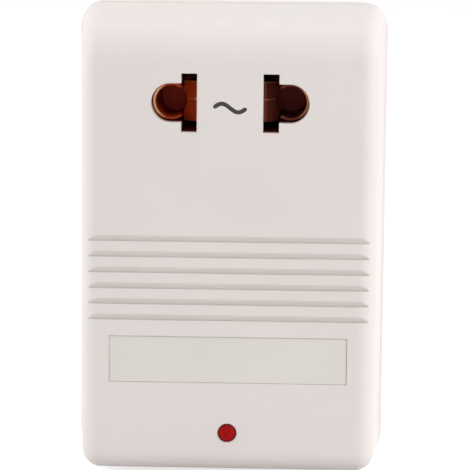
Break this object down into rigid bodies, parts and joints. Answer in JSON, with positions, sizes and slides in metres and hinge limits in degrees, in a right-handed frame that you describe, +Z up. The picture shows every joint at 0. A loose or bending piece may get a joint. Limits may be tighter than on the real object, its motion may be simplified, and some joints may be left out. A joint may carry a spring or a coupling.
{
  "type": "travel voltage converter",
  "caption": "Compact two-way travel voltage converter with combined flat-and-round socket openings, grooved moulded housing, red pilot lamp and fixed flat blades behind.",
  "frame": {"origin": "on the resting face, below the middle of the housing's width and depth", "axes": "+X to the right seen from the front, +Y to the back, towards the blades, +Z up"},
  "size_m": [0.0504, 0.0595, 0.0755],
  "materials": {
    "housing_white": "moulded ABS, fine satin",
    "label_blank": "plain film",
    "phenolic_brown": "moulded phenolic",
    "contact_bronze": "stamped phosphor bronze",
    "blade_brass": "nickel-plated brass",
    "screw_steel": "zinc plated",
    "core_steel": "varnished silicon steel",
    "bracket_steel": "zinc-plated sheet",
    "bobbin_nylon": "moulded nylon",
    "winding_copper": "enamelled copper",
    "tape_yellow": "polyester tape",
    "fuse_body": "drawn can",
    "switch_black": "moulded phenolic",
    "knob_red": "moulded, satin",
    "lamp_red": "diffused red epoxy",
    "board_green": "glass-epoxy laminate",
    "resistor_tan": "lacquered",
    "diode_black": "moulded epoxy",
    "wire_insulation": "PVC sleeve"
  },
  "bodies": {
    "housing": {"front_shell": "housing_white", "rear_shell": "housing_white", "housing_screws": "screw_steel", "label_panel": "label_blank", "socket_contact_left": "contact_bronze", "socket_contact_right": "contact_bronze", "contact_carrier": "phenolic_brown", "contact_carrier_screws": "screw_steel", "plug_blade_left": "blade_brass", "plug_blade_right": "blade_brass", "blade_carrier": "phenolic_brown", "blade_carrier_screws": "screw_steel", "core_e_stack": "core_steel", "core_i_stack": "core_steel", "core_bracket": "bracket_steel", "bracket_screws": "screw_steel", "bobbin": "bobbin_nylon", "bobbin_pins": "blade_brass", "primary_winding": "winding_copper", "secondary_winding": "winding_copper", "winding_tape": "tape_yellow", "thermal_fuse": "fuse_body", "switch_body": "switch_black", "switch_frame": "bracket_steel", "switch_terminals": "blade_brass", "led_lamp": "lamp_red", "led_leads": "blade_brass", "led_board": "board_green", "led_resistor": "resistor_tan", "led_diode": "diode_black", "board_screws": "screw_steel", "hookup_wires": "wire_insulation"},
    "selector": {"selector_knob": "knob_red", "bridge_contacts": "contact_bronze"}
  },
  "joints": [
    {"name": "selector_slide", "type": "slide", "parent": "housing", "child": "selector", "axis": [0, 0, 1], "range_m": [0, 0.0045]}
  ]
}
